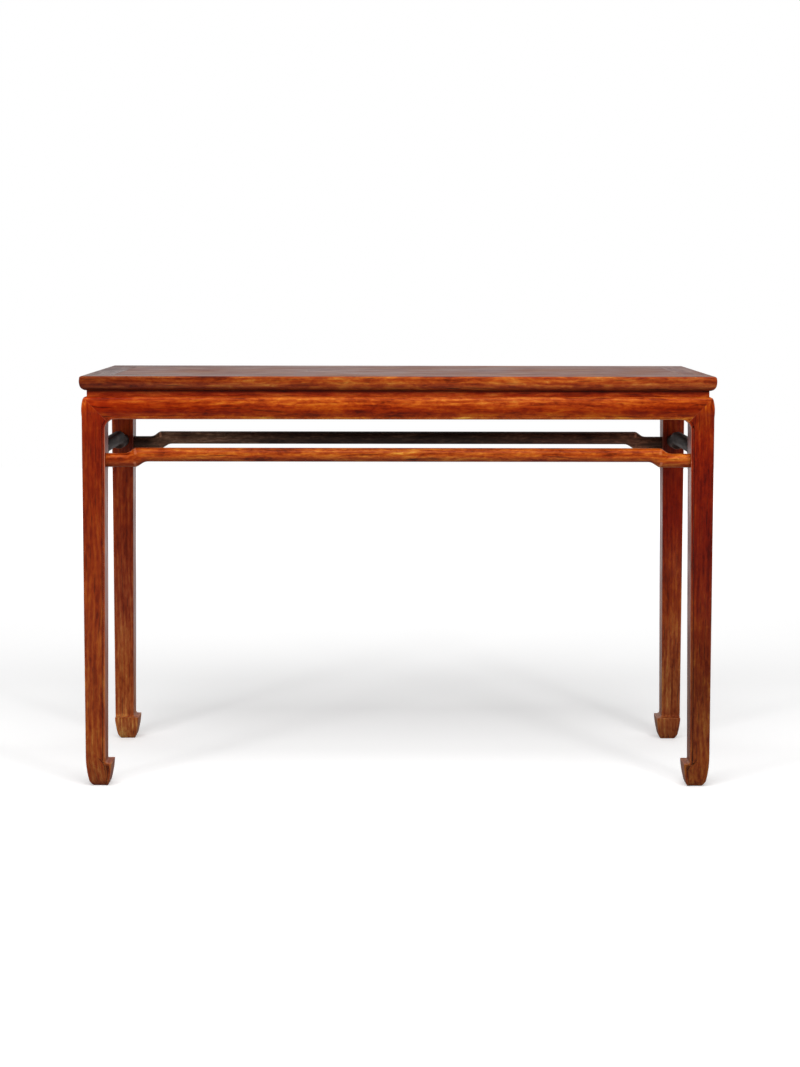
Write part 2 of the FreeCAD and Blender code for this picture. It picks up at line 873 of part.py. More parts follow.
def add_leg_bead(body, side, end):
    """The bead along the inner edge of one face of a leg, from the mitre over the toe."""
    label = f"{body.Label}_{side.name}"
    width = size.bead_width
    strip = inner_edge(ZERO) + leg_corner(ZERO)[1:]
    strip += backwards(inner_edge(width) + leg_corner(width)[1:])
    add_solid(body, f"{label}_bead", side.elevation_plane, side.elevation(end, strip),
              side.across(-size.bead_relief), side.across(size.apron_thickness))


def trim_leg_bead(body, side, end):
    """Let the bead follow the face of the leg as it draws in towards the floor."""
    relief = size.bead_relief
    waste = [(size.floor_outer - relief, -size.spare), *outer_edge(relief),
             (-relief - size.spare, size.hoof_height), (-relief - size.spare, -size.spare)]
    cut_away(body, f"{body.Label}_{side.name}_bead_trim", side.section_plane,
             side.section(waste), side.along(end, -size.spare),
             side.along(end, size.toe_reach + size.spare))


def make_leg(long_name, short_name):
    """A square corner leg that tapers on its inner faces and ends in an inward hoof."""
    body = new_body(f"leg_{long_name}_{short_name}")
    long_side = leg_sides[long_name]
    short_side = leg_sides[short_name]
    end = short_side.facing
    blank = [
        *outer_edge(ZERO),
        *shoulder(),
        (size.apron_thickness, apron_top),
        (size.apron_thickness, frame_under),
        (size.leg_width, frame_under),
        *backwards(inner_edge(ZERO)),
    ]
    add_solid(body, f"{body.Label}_blank", long_side.elevation_plane,
              long_side.elevation(end, blank), long_side.across(-size.face_swell),
              long_side.across(size.toe_reach))
    cut_leg_profile(body, long_side, end)
    faces = ((long_side, short_side.facing), (short_side, long_side.facing))
    for side, side_end in faces:
        shape_leg_joint(body, side, side_end)
    for side, side_end in faces:
        add_leg_bead(body, side, side_end)
    for side, side_end in faces:
        trim_leg_bead(body, side, side_end)
        cut_away(body, f"{body.Label}_{side.name}_stretcher_mortise", side.section_plane,
                 side.section(stretcher_tenon(side, size.fit_gap)),
                 side.along(side_end, size.leg_width - size.stretcher_tenon_length - size.fit_gap),
                 side.along(side_end, size.leg_width + size.spare))
        height = size.long_tenon_height if side.is_long else size.short_tenon_height
        add_solid(body, f"{body.Label}_{side.name}_top_tenon", "XY",
                  side.end_plan(side_end, top_tenon_plan(ZERO)),
                  frame_under - size.spare, frame_under + height)
    return body


# Stretchers


def stretcher_outline(side):
    """Half of a humpback stretcher in elevation: its end, both slopes and the hump."""
    high = stretcher_center(side) + size.stretcher_height / 2
    low = high - size.stretcher_height
    hump_high = high + size.hump_rise
    hump_low = hump_high - size.hump_height
    upper = size.leg_width + size.upper_slope_start
    lower = size.leg_width + size.lower_slope_start
    return [
        (upper + size.upper_slope_run, hump_high),
        (upper, high),
        (leg_face(high), high),
        (leg_face(low), low),
        (lower, low),
        (lower + size.lower_slope_run, hump_low),
    ]


def make_stretcher(name):
    """A stretcher that steps up to a long hump, tenoned to the legs.

    Its four long edges and the hollows of its steps are rounded, and the crests stay crisp.
    """
    side = leg_sides[name]
    body = new_body(f"stretcher_{name}")
    label = body.Label
    front = side.across(size.stretcher_setback)
    back = side.across(size.stretcher_setback + size.stretcher_thickness)
    half = stretcher_outline(side)
    outline = side.elevation(LOW_END, half) + side.elevation(HIGH_END, backwards(half))
    add_solid(body, f"{label}_bar", side.elevation_plane, outline, front, back)
    depth_axis = 1 if side.is_long else 0
    run_axis = 1 - depth_axis
    inner_run = side.half_run.number - size.leg_width.number
    heights = [height.number for _, height in half]
    near = size.fit_gap.number

    def is_hollow(first, last):
        goes_across = abs(first[depth_axis] - last[depth_axis]) > near
        at_end = abs(first[run_axis]) > inner_run - size.spare.number
        at_crest = not min(heights) + near < first[2] < max(heights) - near
        return goes_across and not at_end and not at_crest

    def is_long_edge(first, last):
        on_one_face = abs(first[depth_axis] - last[depth_axis]) < near
        return on_one_face and abs(first[run_axis] - last[run_axis]) > near * 2

    round_edges(body, f"{label}_hollows", size.hollow_radius, is_hollow)
    round_edges(body, f"{label}_rounding", size.stretcher_round, is_long_edge)
    for end, end_name in END_NAMES.items():
        add_solid(body, f"{label}_tenon_{end_name}", side.section_plane,
                  side.section(stretcher_tenon(side, ZERO)),
                  side.along(end, size.leg_width - size.stretcher_tenon_length),
                  side.along(end, size.leg_width + size.spare))
    return body


# The whole table


def make_table():
    pieces = [make_frame_member(name) for name in top_sides]
    pieces.append(make_panel())
    pieces += [make_brace(name) for name in BRACE_SHARES]
    pieces += [make_waist(name) for name in leg_sides]
    pieces += [make_apron(name) for name in leg_sides]
    for long_name in ("front", "back"):
        for short_name in ("left", "right"):
            pieces.append(make_leg(long_name, short_name))
    pieces += [make_stretcher(name) for name in leg_sides]
    pieces.append(make_keys())
    doc.recompute()
    return pieces


def check_features():
    """Stop where a feature failed, or where a pad or a pocket changed nothing."""
    for item in doc.Objects:
        if "Invalid" in item.State or "Error" in item.State:
            raise RuntimeError(f"{item.Label} is in state {item.State}")
        if item.TypeId in ("PartDesign::Pad", "PartDesign::Pocket") and item.BaseFeature:
            change = item.Shape.Volume - item.BaseFeature.Shape.Volume
            grows = item.TypeId == "PartDesign::Pad"
            if (change > 0) != grows or abs(change) < size.fit_gap.number:
                raise RuntimeError(f"{item.Label} changes the volume by {change:.2f}")


def check_piece(piece):
    """Stop where a piece has no sound solid of its own."""
    shape = piece.Shape
    if shape.isNull() or not shape.isValid() or not shape.Solids:
        raise RuntimeError(f"{piece.Label} has no valid shape")
    if piece.TypeId == "PartDesign::Body" and len(shape.Solids) != 1:
        raise RuntimeError(f"{piece.Label} has {len(shape.Solids)} solids")


def write_parts(pieces):
    os.makedirs("parts", exist_ok=True)
    for piece in pieces:
        piece.Shape.exportStep(f"parts/{piece.Label}.step")
        print(f"{piece.Label}: {piece.Shape.Volume / 1000:.1f} cubic centimetres")


table_pieces = make_table()
check_features()
for table_piece in table_pieces:
    check_piece(table_piece)
write_parts(table_pieces)
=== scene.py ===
import math

import bmesh
import bpy
from mathutils import Euler, Matrix, Vector


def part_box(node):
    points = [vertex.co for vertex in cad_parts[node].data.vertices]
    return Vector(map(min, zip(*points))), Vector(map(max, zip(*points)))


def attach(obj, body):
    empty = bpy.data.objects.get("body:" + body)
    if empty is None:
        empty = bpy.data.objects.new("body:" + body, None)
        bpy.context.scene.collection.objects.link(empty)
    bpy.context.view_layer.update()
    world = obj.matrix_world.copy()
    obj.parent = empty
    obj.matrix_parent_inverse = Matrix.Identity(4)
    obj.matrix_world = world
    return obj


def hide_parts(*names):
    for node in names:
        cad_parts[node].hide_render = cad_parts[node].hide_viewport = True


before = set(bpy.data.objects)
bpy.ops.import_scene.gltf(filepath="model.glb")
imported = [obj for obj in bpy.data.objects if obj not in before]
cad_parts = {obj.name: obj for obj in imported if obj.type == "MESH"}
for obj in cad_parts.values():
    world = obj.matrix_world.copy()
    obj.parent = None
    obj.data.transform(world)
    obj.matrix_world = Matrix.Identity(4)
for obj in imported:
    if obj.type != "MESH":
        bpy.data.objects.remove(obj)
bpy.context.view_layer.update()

# Waisted side table of waxed hardwood. Each piece is a copy of its node with its arrises eased and
# wood laid over it, grain along the piece. Metres; X is the length, -Y the front and Z is up.

MM = 0.001

# Corners of a node's mesh this close are one corner, and faces this nearly level are one face
MERGE_REACH = 0.01 * MM
FLAT_ANGLE = math.radians(0.4)

# How sharp an edge is that gets eased: on most pieces, on a hump and on the rim of the top
SHARP_ANGLE = math.radians(28)
CREST_ANGLE = math.radians(5)
RIM_ANGLE = math.radians(8)
# How sharp an edge is that still shows as a line
CREASE_ANGLE = math.radians(32)

# How wide each kind of edge is eased
WIDEST_EASE = 3.5 * MM
SEAM_EASE = 0.14 * MM
EDGE_EASE = 0.5 * MM
BEAD_EASE = 0.8 * MM
LIP_EASE = 1.7 * MM
CORNER_EASE = 1.9 * MM
HOOF_EASE = 1.3 * MM
CREST_EASE = 3.2 * MM
RIM_EASE = 1.3 * MM
EASE_SEGMENTS = 4
# The share of the room beside an edge that its easing may take
EASE_SHARE = 0.6

# Strips that are marked at the foot of the bead, for the painted shade laid there
QUIRK_WIDTH = 0.95 * MM
RIM_WIDTH = 0.8 * MM

# Kinds of face while a piece is shaped
PLAIN, ARRIS, QUIRK = range(3)
# Marks that are noted on a piece for its wood, by kind of place: a painted highlight on the lip of
# the bead, rubbing with a painted highlight on the other arrises, painted shade at the bead's foot
WEAR_AND_LIGHT_MARK = "wear_and_light"
LIP_HIGHLIGHT = 1
ARRIS_WEAR_AND_HIGHLIGHT = 0.4
QUIRK_SHADE_MARK = -1

# How squarely one way follows another: at least roughly, mostly or nearly
ROUGHLY = 0.5
MOSTLY = 0.7
NEARLY = 0.9

# Places on the table
leg_low, leg_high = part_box("leg_front_right")
frame_low, frame_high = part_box("top_frame_front")
APRON_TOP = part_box("apron_front")[1].z
APRON_EDGE = APRON_TOP - 45 * MM
BEAD_TOP = APRON_EDGE + 2 * MM
LEG_FACE_X = leg_high.x
LEG_FACE_Y = -leg_low.y
HOOF_TOP = 62 * MM
SOLE_TOP = 0.1 * MM
# How far in from the outside a place still counts as there: at a hoof, on a face, on the rim of
# the top, and at the end of a stretcher
HOOF_REACH = 16 * MM
FACE_REACH = 4 * MM
RIM_REACH = 8 * MM
END_REACH = 30 * MM


# Shaping


def near_outside(middle):
    """Whether a place is at the front or back of the legs, and whether it is at their ends."""
    reach = HOOF_REACH if middle.z < HOOF_TOP else FACE_REACH
    return abs(middle.y) > LEG_FACE_Y - reach, abs(middle.x) > LEG_FACE_X - reach


def ease_leg(middle, along):
    """The corner and the hoof are rounded off, the bead less, and the sole stays sharp."""
    outside = near_outside(middle)
    if middle.z < SOLE_TOP:
        return 0
    if all(outside) and abs(along.z) > ROUGHLY:
        return CORNER_EASE
    if middle.z < HOOF_TOP:
        return HOOF_EASE
    if middle.z < BEAD_TOP:
        return BEAD_EASE
    return SEAM_EASE if any(outside) else 0


def ease_apron(middle, along):
    """The bead is eased, and the joints keep a fine line."""
    at_bead = any(near_outside(middle)) and middle.z < BEAD_TOP
    return BEAD_EASE if at_bead else SEAM_EASE


def ease_seams(middle, along):
    """A waist strip or the panel only has fine lines at its joints."""
    return SEAM_EASE


def ease_moulding(middle, along):
    """Only the rim of the top is eased, where hands have rounded it."""
    outer = abs(middle.x) > frame_high.x - RIM_REACH or abs(middle.y) > -frame_low.y - RIM_REACH
    return RIM_EASE if outer and middle.z > frame_high.z - SOLE_TOP else 0


def ease_board(middle, along):
    """A brace or a key has the edges that a plane leaves."""
    return EDGE_EASE


def ease_crests(axis, reach):
    """How the hump of a stretcher that runs along an axis is eased."""
    def ease(middle, along):
        crosses = abs(along[axis]) < ROUGHLY
        return CREST_EASE if crosses and abs(middle[axis]) < reach - END_REACH else 0
    return ease


def whole_mesh(node):
    """A copy of a node's mesh with its doubles merged and its flat faces in one piece."""
    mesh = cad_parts[node].data.copy()
    mesh.materials.clear()
    bm = bmesh.new()
    bm.from_mesh(mesh)
    bmesh.ops.remove_doubles(bm, verts=bm.verts, dist=MERGE_REACH)
    bmesh.ops.dissolve_limit(bm, angle_limit=FLAT_ANGLE, verts=bm.verts, edges=bm.edges)
    return mesh, bm


def away_from_middle(place):
    """The way out from the middle of the table, and up."""
    return Vector((math.copysign(1, place.x), math.copysign(1, place.y), 1))


def looks_out(face, middle):
    """Whether a face looks out of the table, at the place of one of its edges."""
    front, end = near_outside(middle)
    outward = away_from_middle(middle)
    ahead = face.normal.y * outward.y if front else 0
    aside = face.normal.x * outward.x if end else 0
    return max(ahead, aside) > ROUGHLY


def looks_inward(face, middle):
    """Whether a face looks down, or towards the middle of the table."""
    return face.normal.dot(away_from_middle(middle)) < -NEARLY


def is_quirk(edge):
    """Whether an edge lies at the foot of the bead, beside a face that looks out."""
    if len(edge.link_faces) != 2 or edge.calc_face_angle_signed() > -SHARP_ANGLE:
        return False
    middle = (edge.verts[0].co + edge.verts[1].co) / 2
    return middle.z < BEAD_TOP and sum(looks_out(face, middle) for face in edge.link_faces) == 1


def is_rim(edge):
    """Whether an edge parts a marked strip from the plain face beside it."""
    middle = (edge.verts[0].co + edge.verts[1].co) / 2
    kinds = {face.material_index for face in edge.link_faces if looks_out(face, middle)}
    return kinds == {PLAIN, QUIRK}


def mark_quirks(bm):
    """Part narrow strips off both faces at the foot of the bead, with their shape kept."""
    feet = [edge for edge in bm.edges if is_quirk(edge)]
    square = {"affect": "EDGES", "profile": 1.0, "material": QUIRK, "loop_slide": True}
    bmesh.ops.bevel(bm, geom=feet, offset=QUIRK_WIDTH, segments=2, **square)
    rims = [edge for edge in bm.edges if is_rim(edge)]
    bmesh.ops.bevel(bm, geom=rims, offset=RIM_WIDTH, segments=1, **square)


def room_beside(edge, along):
    """The length of the shortest edge that leaves either end of an edge across it."""
    lengths = [WIDEST_EASE / EASE_SHARE]
    for vert in edge.verts:
        for other in vert.link_edges:
            way = other.other_vert(vert).co - vert.co
            if abs(way.normalized().dot(along)) < MOSTLY:
                lengths.append(way.length)
    return min(lengths)


def weigh_edges(bm, ease, softest):
    """Give each arris the share of the widest easing that its place asks for and has room for."""
    weight = bm.edges.layers.float.new("bevel_weight_edge")
    for edge in bm.edges:
        if len(edge.link_faces) != 2 or edge.calc_face_angle_signed() < softest:
            continue
        first, last = (vert.co for vert in edge.verts)
        along = (last - first).normalized()
        middle = (first + last) / 2
        asked = ease(middle, along)
        if asked == BEAD_EASE and any(looks_inward(face, middle) for face in edge.link_faces):
            asked = LIP_EASE
        edge[weight] = min(asked, EASE_SHARE * room_beside(edge, along)) / WIDEST_EASE


def on_lip(vert):
    """Whether a marked place is on the rounded lip of the bead, where a painted highlight runs."""
    turned = abs(vert.normal.dot(away_from_middle(vert.co))) < MOSTLY
    return HOOF_TOP < vert.co.z < BEAD_TOP and turned


def note_wear_and_light(mesh):
    """Tell the wood where its arrises are lighter, from rubbing and a painted highlight, above
    zero, and where painted shade lies at the foot of the bead, below zero.
    """
    kinds = [set() for _ in mesh.vertices]
    for face in mesh.polygons:
        for corner in face.vertices:
            kinds[corner].add(face.material_index)
        face.material_index = PLAIN
    wear_and_light = mesh.attributes.new(WEAR_AND_LIGHT_MARK, "FLOAT", "POINT")
    for place, kind, vert in zip(wear_and_light.data, kinds, mesh.vertices):
        if kind == {ARRIS}:
            place.value = LIP_HIGHLIGHT if on_lip(vert) else ARRIS_WEAR_AND_HIGHLIGHT
        else:
            place.value = QUIRK_SHADE_MARK if kind == {QUIRK} else 0


def ease_edges(piece):
    """Work the easing into the mesh."""
    for _ in (PLAIN, ARRIS, QUIRK):
        piece.data.materials.append(None)
    bevel = piece.modifiers.new("easing", "BEVEL")
    bevel.limit_method = "WEIGHT"
    bevel.width = WIDEST_EASE
    bevel.segments = EASE_SEGMENTS
    bevel.material = ARRIS
    bevel.use_clamp_overlap = False
    shown = piece.evaluated_get(bpy.context.evaluated_depsgraph_get())
    piece.data = bpy.data.meshes.new_from_object(shown)
    piece.modifiers.remove(bevel)
    note_wear_and_light(piece.data)
    piece.data.materials.clear()


def finish(node, ease, wood, softest=SHARP_ANGLE):
    """Make one piece of the table: its node's shape with eased edges, and its wood."""
    mesh, bm = whole_mesh(node)
    mark_quirks(bm)
    weigh_edges(bm, ease, softest)
    bm.to_mesh(mesh)
    bm.free()
    piece = bpy.data.objects.new(f"{node}_finished", mesh)
    bpy.context.scene.collection.objects.link(piece)
    ease_edges(piece)
    piece.data.shade_smooth()
    piece.data.set_sharp_from_angle(angle=CREASE_ANGLE)
    normals = piece.modifiers.new("normals", "WEIGHTED_NORMAL")
    normals.keep_sharp = True
    piece.data.materials.append(wood)
    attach(piece, "root")
    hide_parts(node)


# Shaders

# The sockets of a Mix node that hold colors
FIRST_COLOR, SECOND_COLOR, MIXED_COLOR = 6, 7, 2
# The middle of a noise, which runs from 0 to 1
HALFWAY = 0.5


class Shades:
    """The nodes of one material, or of the world, joined up as they are added."""

    def __init__(self, owner):
        owner.use_nodes = True
        self.nodes = owner.node_tree.nodes
        self.links = owner.node_tree.links
        self.nodes.clear()

    def join(self, value, socket):
        if isinstance(value, bpy.types.NodeSocket):
            self.links.new(value, socket)
        else:
            socket.default_value = value

    def add(self, kind, inputs=None, **settings):
        """A node with its settings made, and its inputs set or linked."""
        node = self.nodes.new(f"ShaderNode{kind}")
        for name, value in settings.items():
            setattr(node, name, value)
        for name, value in (inputs or {}).items():
            self.join(value, node.inputs[name])
        return node

    def place(self):
        """Where a point lies in the table."""
        return self.add("TexCoord").outputs["Object"]

    def sum(self, operation, first, second, limited=False):
        node = self.add("Math", {0: first, 1: second}, operation=operation, use_clamp=limited)
        return node.outputs[0]

    def vector(self, operation, *values):
        """A sum on three coordinates at once, or their length."""
        node = self.add("VectorMath", dict(enumerate(values)), operation=operation)
        return node.outputs["Value" if operation == "LENGTH" else "Vector"]

    def noise(self, place, size, detail, roughness, distortion=0.0):
        """Cloudy noise with features of about a size."""
        inputs = {"Vector": place, "Scale": 1 / size, "Detail": detail, "Roughness": roughness,
                  "Distortion": distortion}
        return self.add("TexNoise", inputs).outputs["Fac"]

    def between(self, value, low, high, new_low=0.0, new_high=1.0):
        """A value's place between two others, carried over to a new range."""
        inputs = {"Value": value, "From Min": low, "From Max": high,
                  "To Min": new_low, "To Max": new_high}
        return self.add("MapRange", inputs, clamp=True).outputs["Result"]

    def ramp(self, value, stops):
        node = self.add("ValToRGB", {"Fac": value})
        elements = node.color_ramp.elements
        while len(elements) < len(stops):
            elements.new(HALFWAY)
        for element, (place, color) in zip(elements, stops):
            element.position = place
            element.color = (*color, 1)
        return node.outputs["Color"]

    def tones(self, value, tones):
        """The color that a table of tones gives for a value, blended between its entries."""
        first, last = min(tones), max(tones)
        share = self.between(value, first, last)
        stops = [((place - first) / (last - first), tones[place]) for place in sorted(tones)]
        return self.ramp(share, stops)

    def mix(self, mode, share, first, second):
        node = self.add("Mix", {"Factor": share}, data_type="RGBA", blend_type=mode)
        for value, number in ((first, FIRST_COLOR), (second, SECOND_COLOR)):
            linked = isinstance(value, bpy.types.NodeSocket)
            self.join(value if linked else (*value, 1), node.inputs[number])
        return node.outputs[MIXED_COLOR]


# Wood

# The turn that lays a board's grain along X
TURNS = {"X": (0, 0, 0), "Y": (0, 0, -math.pi / 2), "Z": (0, math.pi / 2, 0)}

# Waxed hardwood from its darkest veins to its lightest flames
HEARTWOOD = (
    (0.08, (0.150, 0.010, 0.001)),
    (0.30, (0.330, 0.026, 0.003)),
    (0.50, (0.480, 0.055, 0.007)),
    (0.70, (0.610, 0.105, 0.014)),
    (0.92, (0.780, 0.210, 0.036)),
)
DARKENED = (
    (0.08, (0.012, 0.006, 0.004)),
    (0.50, (0.040, 0.021, 0.013)),
    (0.92, (0.110, 0.062, 0.040)),
)
VEIN = (0.030, 0.006, 0.003)
# Painted highlight with real rubbing on the arrises, and painted shade at the foot of the bead
RUBBED_AND_HIGHLIT = (0.45, 0.18, 0.10)
QUIRK_SHADE = (0.22, 0.10, 0.09)
# Painted shade in the hollows at the toes
TOE_SHADE = (0.20, 0.11, 0.08)

# How the grain wanders off its line: the scale and the detail of the bends, and their reach
BENDS = {"Scale": 2.2, "Detail": 2.0}
BEND_REACH = (0, 0.035, 0.035)

# The patterns that follow the grain: how short each stays along it, and then the size of its
# features, their detail, their roughness and how distorted they are
GRAIN_PATTERNS = {
    "figure": (0.22, 24 * MM, 4.0, 0.6, 0.8),
    "mottle": (0.38, 6 * MM, 3.0, 0.65, 0.6),
    "streaks": (0.07, 5 * MM, 3.0, 0.6, 0.0),
    "fibres": (0.03, 0.9 * MM, 2.0, 0.7, 0.0),
    "pores": (0.03, 0.45 * MM, 1.0, 0.5, 0.0),
}
RING_LENGTH = 0.07
RINGS = {"Scale": 42.0, "Distortion": 7.0, "Detail": 3.0, "Detail Scale": 0.5,
         "Detail Roughness": 0.6}
# The patterns that run over it
LOOSE_PATTERNS = {"clouds": (160 * MM, 2.0, 0.5), "nicks": (7 * MM, 2.0, 0.6)}

# How much each pattern darkens and lightens the wood. The first two follow the flame of a board
FLAMING = {"figure": 1.3, "mottle": 0.9}
STEADY = {"streaks": 0.7, "rings": 0.14, "clouds": 0.5}

# Ranges of a pattern, each with the range that it is carried over to
VEIN_RINGS = (0.86, 0.99)
VEIN_STREAKS = (0.36, 0.50, 0.7, 0.0)
OPEN_PORES = (0.66, 0.76)
BARE_CLOUDS = (0.4, 0.65, 0.4, 0.9)
BARE_NICKS = (0.62, 0.68, 0.0, 0.9)
QUIRK_SHADE_RANGE = (0, -0.3, 0, 0.95)
TOE_SHADE_RANGE = (0.3, 1.0, 0.6, 0.0)
FIGURE_POLISH = (0.3, 0.7, 0.07, -0.07)
FIBRE_TONES = ((0.3, (0.80, 0.78, 0.76)), (0.7, (1.14, 1.12, 1.10)))
PORE_SHARE = 0.55

# The hollows where the bead of a leg turns out over its foot: their reach each way and places
TOE_REACH = (6 * MM, 6 * MM, 15 * MM)
TOE_DEPTH = 44 * MM
TOE_HEIGHT = 36 * MM
TOES = ((LEG_FACE_X - TOE_DEPTH, LEG_FACE_Y, TOE_HEIGHT),
        (LEG_FACE_X, LEG_FACE_Y - TOE_DEPTH, TOE_HEIGHT))

# The wax: how rough it is as a rule and over smooth and dull clouds, pores and fibres
WAXED = 0.34
CLOUD_RANGE = (0.3, 0.7)
SMOOTHER, DULLER = -0.05, 0.09
PORE_ROUGHNESS = 0.15
WAX_IOR = 1.48
SHEEN = 0.2
FIBRE_RELIEF = 0.5
RELIEF = {"Strength": 0.35, "Distance": 0.08 * MM}


def grain_place(shades, node, grain, heart):
    """Where a point lies in its board: X along the grain, Y and Z out from the heart."""
    low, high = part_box(node)
    turn = Euler(TURNS[grain])
    middle = (low + high) / 2
    middle.rotate(turn)
    inputs = {"Vector": shades.place(), "Location": Vector(heart) - middle, "Rotation": turn}
    return shades.add("Mapping", inputs).outputs["Vector"]


def wood_patterns(shades, place):
    """The patterns of one board, by name."""
    bends = shades.add("TexNoise", {"Vector": place, **BENDS}).outputs["Color"]
    bends = shades.vector("SUBTRACT", bends, (HALFWAY,) * 3)
    bent = shades.vector("MULTIPLY_ADD", bends, BEND_REACH, place)
    patterns = {name: shades.noise(shades.vector("MULTIPLY", bent, (length, 1, 1)), *look)
                for name, (length, *look) in GRAIN_PATTERNS.items()}
    drawn = shades.vector("MULTIPLY", bent, (RING_LENGTH, 1, 1))
    patterns["rings"] = shades.add("TexWave", {"Vector": drawn, **RINGS}, wave_type="RINGS",
                                   rings_direction="X").outputs["Fac"]
    for name, look in LOOSE_PATTERNS.items():
        patterns[name] = shades.noise(place, *look)
    return patterns


def new_wood(shades, patterns, pores, flame, colors):
    """The color of the wood itself: its figure, veins, fibres and pores."""
    shares = {name: share * flame for name, share in FLAMING.items()}
    shares.update(STEADY)
    tone = HALFWAY - sum(shares.values()) / 2
    for name, share in shares.items():
        tone = shades.sum("ADD", tone, shades.sum("MULTIPLY", patterns[name], share))
    color = shades.ramp(tone, colors)
    vein = shades.sum("MULTIPLY", shades.between(patterns["rings"], *VEIN_RINGS),
                      shades.between(patterns["streaks"], *VEIN_STREAKS), limited=True)
    color = shades.mix("MIX", vein, color, VEIN)
    color = shades.mix("MULTIPLY", 1.0, color, shades.ramp(patterns["fibres"], FIBRE_TONES))
    return shades.mix("MIX", shades.sum("MULTIPLY", pores, PORE_SHARE), color, VEIN)


def apply_tones(shades, color, changes):
    """The wood multiplied by tones at some places along an axis: mostly painted light and shade,
    some tone that differs along a piece.
    """
    for axis, tones in changes:
        value = shades.add("SeparateXYZ", {"Vector": shades.place()}).outputs[axis]
        color = shades.mix("MULTIPLY", 1.0, color, shades.tones(value, tones))
    return color


def shade_toes(shades, color):
    """Painted shade in the hollows where the bead of a leg turns out over its foot."""
    place = shades.vector("ABSOLUTE", shades.place())
    for toe in TOES:
        away = shades.vector("SUBTRACT", place, toe)
        away = shades.vector("MULTIPLY", away, [1 / reach for reach in TOE_REACH])
        toe_shade_share = shades.between(shades.vector("LENGTH", away), *TOE_SHADE_RANGE)
        color = shades.mix("MULTIPLY", toe_shade_share, color, TOE_SHADE)
    return color


def edge_wear_and_light(shades, color, patterns):
    """Lighter arrises, from hands' rubbing and a painted highlight that is strongest on the lip of
    the bead, with painted shade at the foot of the bead.
    """
    wear_and_light = shades.add("Attribute", attribute_name=WEAR_AND_LIGHT_MARK).outputs["Fac"]
    bare = shades.sum("MAXIMUM", shades.between(patterns["clouds"], *BARE_CLOUDS),
                      shades.between(patterns["nicks"], *BARE_NICKS))
    rubbed_and_highlit = shades.sum("MULTIPLY", shades.between(wear_and_light, 0, 1), bare)
    color = shades.mix("SCREEN", rubbed_and_highlit, color, RUBBED_AND_HIGHLIT)
    return shades.mix("MULTIPLY", shades.between(wear_and_light, *QUIRK_SHADE_RANGE), color, QUIRK_SHADE)


def polish(shades, patterns, pores, dullness):
    """How rough the wax is: smoother on the flames, duller in clouds and pores."""
    roughness = shades.between(patterns["clouds"], *CLOUD_RANGE,
                               dullness + SMOOTHER, dullness + DULLER)
    roughness = shades.sum("ADD", roughness, shades.sum("MULTIPLY", pores, PORE_ROUGHNESS))
    return shades.sum("ADD", roughness, shades.between(patterns["figure"], *FIGURE_POLISH))


def make_wood(name, node, grain, heart, tint=(1, 1, 1), flame=1.0, colors=HEARTWOOD,
              dullness=WAXED, changes=()):
    """Waxed hardwood for one board."""
    material = bpy.data.materials.new(name)
    shades = Shades(material)
    patterns = wood_patterns(shades, grain_place(shades, node, grain, heart))
    pores = shades.between(patterns["pores"], *OPEN_PORES)
    color = new_wood(shades, patterns, pores, flame, colors)
    color = shades.mix("MULTIPLY", 1.0, color, tint)
    # Painted light and shade from the tone tables, painted shade in the toe hollows, and lighter
    # arrises from rubbing and a painted highlight
    color = apply_tones(shades, color, changes)
    if node.startswith("leg"):
        color = shade_toes(shades, color)
    color = edge_wear_and_light(shades, color, patterns)
    fibres = shades.sum("MULTIPLY", patterns["fibres"], FIBRE_RELIEF)
    relief = shades.sum("SUBTRACT", fibres, pores)
    bump = shades.add("Bump", {**RELIEF, "Height": relief})
    skin = shades.add("BsdfPrincipled", {
        "Base Color": color, "Roughness": polish(shades, patterns, pores, dullness),
        "IOR": WAX_IOR, "Specular IOR Level": SHEEN, "Normal": bump.outputs["Normal"]})
    shades.add("OutputMaterial", {"Surface": skin.outputs[0]})
    return material


# Tones: factors on the wood at places along an axis, most of them painted light and shade, the
# rest tone that differs along a piece. "Run" goes along X, and the others up Z

DULLED = (0.45, 0.52, 0.72)
# Painted shade on the moulding's underside, darkest at its foot and gone 15 mm up; the top face
# takes the duller tint
MOULDING_SHADE_TONES = {
    frame_low.z: (0.20, 0.10, 0.08),
    frame_low.z + 3 * MM: (0.55, 0.42, 0.40),
    frame_low.z + 8 * MM: (0.85, 0.80, 0.78),
    frame_low.z + 15 * MM: (1.0, 1.0, 1.0),
    frame_high.z - 0.9 * MM: (1.0, 1.0, 1.0),
    frame_high.z: DULLED,
}
MOULDING_RUN = {
    -0.6: (0.51, 0.50, 0.66), -0.3: (0.76, 0.76, 0.78), 0: (0.93, 1.0, 0.92),
    0.3: (1.0, 1.0, 1.0), 0.6: (0.80, 0.77, 0.97),
}
# Painted shadow along the top of the waist, under the moulding
WAIST_SHADOW_TONES = {
    frame_low.z - 8 * MM: (1.0, 1.0, 1.0),
    frame_low.z - 5 * MM: (0.85, 0.80, 0.80),
    frame_low.z - 3 * MM: (0.45, 0.36, 0.40),
    frame_low.z: (0.10, 0.05, 0.04),
}
SHOULDER = APRON_TOP - 6 * MM
